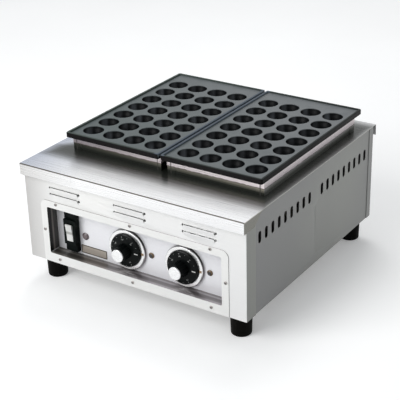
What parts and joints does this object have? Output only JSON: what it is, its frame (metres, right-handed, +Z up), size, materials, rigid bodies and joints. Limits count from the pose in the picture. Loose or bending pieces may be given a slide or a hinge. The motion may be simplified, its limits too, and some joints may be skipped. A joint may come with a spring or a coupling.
{
  "type": "takoyaki maker",
  "caption": "Low square steel countertop cooker with cast plates of half-round cups, sunk control panel with dials and a breaker, on rubber feet.",
  "frame": {"origin": "on the standing surface under the middle of the case", "axes": "+Z up, the control front faces -Y, +X to the user's right"},
  "size_m": [0.4708, 0.4868, 0.2738],
  "materials": {
    "case_steel": "satin, fine brushed grain",
    "tray_steel": "bright pressed sheet",
    "fastener_steel": "plated",
    "breaker_plastic": "moulded",
    "toggle_plastic": "moulded",
    "power_lens": "moulded lens",
    "dial_lens": "moulded amber lens",
    "black_plastic": "moulded",
    "bezel_chrome": "polished",
    "knob_plastic": "moulded",
    "cap_metal": "satin",
    "shaft_brass": "turned",
    "thermostat_plastic": "moulded",
    "plate_iron": "seasoned casting",
    "box_steel": "folded sheet",
    "reflector_metal": "drawn pan",
    "element_steel": "heat-darkened sheath",
    "rest_ceramic": "unglazed",
    "block_plastic": "moulded",
    "gland_plastic": "moulded",
    "foot_rubber": "moulded"
  },
  "bodies": {
    "case": {"base_pan": "case_steel", "front_panel": "case_steel", "rear_panel": "case_steel", "left_side_panel": "case_steel", "right_side_panel": "case_steel", "top_cover": "case_steel", "control_tray": "tray_steel", "tray_screws": "fastener_steel", "breaker_body": "breaker_plastic", "power_lamp_lens": "power_lens", "power_lamp_holder": "black_plastic", "foot_bolts": "fastener_steel", "foot_nuts": "fastener_steel", "terminal_block": "block_plastic", "cord_gland": "gland_plastic", "gland_nut": "gland_plastic", "left_bezel": "bezel_chrome", "left_thermostat": "thermostat_plastic", "left_thermostat_screws": "fastener_steel", "left_dial_lamp_lens": "dial_lens", "left_dial_lamp_holder": "black_plastic", "left_heater_box": "box_steel", "left_reflector": "reflector_metal", "left_element": "element_steel", "left_element_rests": "rest_ceramic", "right_bezel": "bezel_chrome", "right_thermostat": "thermostat_plastic", "right_thermostat_screws": "fastener_steel", "right_dial_lamp_lens": "dial_lens", "right_dial_lamp_holder": "black_plastic", "right_heater_box": "box_steel", "right_reflector": "reflector_metal", "right_element": "element_steel", "right_element_rests": "rest_ceramic", "front_left_foot": "foot_rubber", "front_right_foot": "foot_rubber", "rear_left_foot": "foot_rubber", "rear_right_foot": "foot_rubber"},
    "left_plate": {"left_cooking_plate": "plate_iron"},
    "right_plate": {"right_cooking_plate": "plate_iron"},
    "left_dial": {"left_dial_knob": "knob_plastic", "left_dial_cap": "cap_metal", "left_thermostat_shaft": "shaft_brass"},
    "right_dial": {"right_dial_knob": "knob_plastic", "right_dial_cap": "cap_metal", "right_thermostat_shaft": "shaft_brass"},
    "toggle": {"breaker_toggle": "toggle_plastic"}
  },
  "joints": [
    {"name": "left_plate_lift", "type": "slide", "parent": "case", "child": "left_plate", "axis": [0, 0, 1], "range_m": [0, 0.06]},
    {"name": "right_plate_lift", "type": "slide", "parent": "case", "child": "right_plate", "axis": [0, 0, 1], "range_m": [0, 0.06]},
    {"name": "left_dial_turn", "type": "hinge", "parent": "case", "child": "left_dial", "pos_m": [-0.025, -0.2095, 0.1045], "axis": [0, 1, 0], "range_deg": [0, 300]},
    {"name": "right_dial_turn", "type": "hinge", "parent": "case", "child": "right_dial", "pos_m": [0.0965, -0.2095, 0.1045], "axis": [0, 1, 0], "range_deg": [0, 300]},
    {"name": "breaker_toggle_tilt", "type": "hinge", "parent": "case", "child": "toggle", "pos_m": [-0.148, -0.2165, 0.1095], "axis": [1, 0, 0], "range_deg": [-14, 0]}
  ]
}
